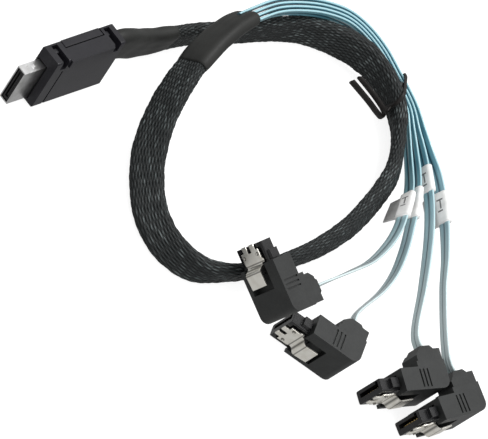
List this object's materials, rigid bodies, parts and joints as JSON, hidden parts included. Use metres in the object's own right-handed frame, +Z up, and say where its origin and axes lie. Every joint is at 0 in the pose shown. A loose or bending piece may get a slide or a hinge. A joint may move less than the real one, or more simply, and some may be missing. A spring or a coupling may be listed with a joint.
{
  "type": "host to drive breakout cable",
  "caption": "Breakout cable: a flat metal-nosed host plug, a braided sleeve lying in a loop, and flat blue ribbons to right-angle drive plugs with steel latches.",
  "frame": {"origin": "on the table, under the centre of the connectors' bounding box", "axes": "+Z up from the table, +X from the host plug towards the drive plugs, +Y towards the far side of the loop"},
  "size_m": [0.1459, 0.128, 0.0246],
  "materials": {
    "black_shell": "satin, fine grain",
    "black_mouth": "smooth",
    "steel": "pressed sheet, satin",
    "gold": "plated contacts",
    "braid": "woven monofilament",
    "shrink": "smooth heat shrink",
    "ribbon": "clear film over foil",
    "label": "printed film",
    "tie": "plastic over wire"
  },
  "bodies": {
    "cable": {"host_body": "black_shell", "host_cover": "black_shell", "host_shield": "steel", "host_lining": "black_mouth", "host_blade": "gold", "host_boot": "shrink", "sleeve": "braid", "transition": "shrink", "wire_tie": "tie", "drive_1_shell": "black_shell", "drive_1_mouth": "black_mouth", "drive_1_contacts": "gold", "ribbon_1": "ribbon", "label_1": "label", "drive_2_shell": "black_shell", "drive_2_mouth": "black_mouth", "drive_2_contacts": "gold", "ribbon_2": "ribbon", "label_2": "label", "drive_3_shell": "black_shell", "drive_3_mouth": "black_mouth", "drive_3_contacts": "gold", "ribbon_3": "ribbon", "label_3": "label", "drive_4_shell": "black_shell", "drive_4_mouth": "black_mouth", "drive_4_contacts": "gold", "ribbon_4": "ribbon", "label_4": "label"},
    "latch_1": {"drive_1_latch": "steel"},
    "latch_2": {"drive_2_latch": "steel"},
    "latch_3": {"drive_3_latch": "steel"},
    "latch_4": {"drive_4_latch": "steel"}
  },
  "joints": [
    {"name": "latch_1_press", "type": "hinge", "parent": "cable", "child": "latch_1", "pos_m": [0.00239, -0.00823, 0.01692], "axis": [0.1038, -0.012, 0.9945], "range_deg": [0, 4.5], "stiffness_Nm_per_rad": 0.05},
    {"name": "latch_2_press", "type": "hinge", "parent": "cable", "child": "latch_2", "pos_m": [0.026, -0.00357, 0.0057], "axis": [0, 0, 1], "range_deg": [0, 4.5], "stiffness_Nm_per_rad": 0.05},
    {"name": "latch_3_press", "type": "hinge", "parent": "cable", "child": "latch_3", "pos_m": [0.05504, 0.01119, 0.0057], "axis": [0, 0, 1], "range_deg": [0, 4.5], "stiffness_Nm_per_rad": 0.05},
    {"name": "latch_4_press", "type": "hinge", "parent": "cable", "child": "latch_4", "pos_m": [0.06795, 0.0175, 0.0057], "axis": [0, 0, 1], "range_deg": [0, 4.5], "stiffness_Nm_per_rad": 0.05}
  ]
}
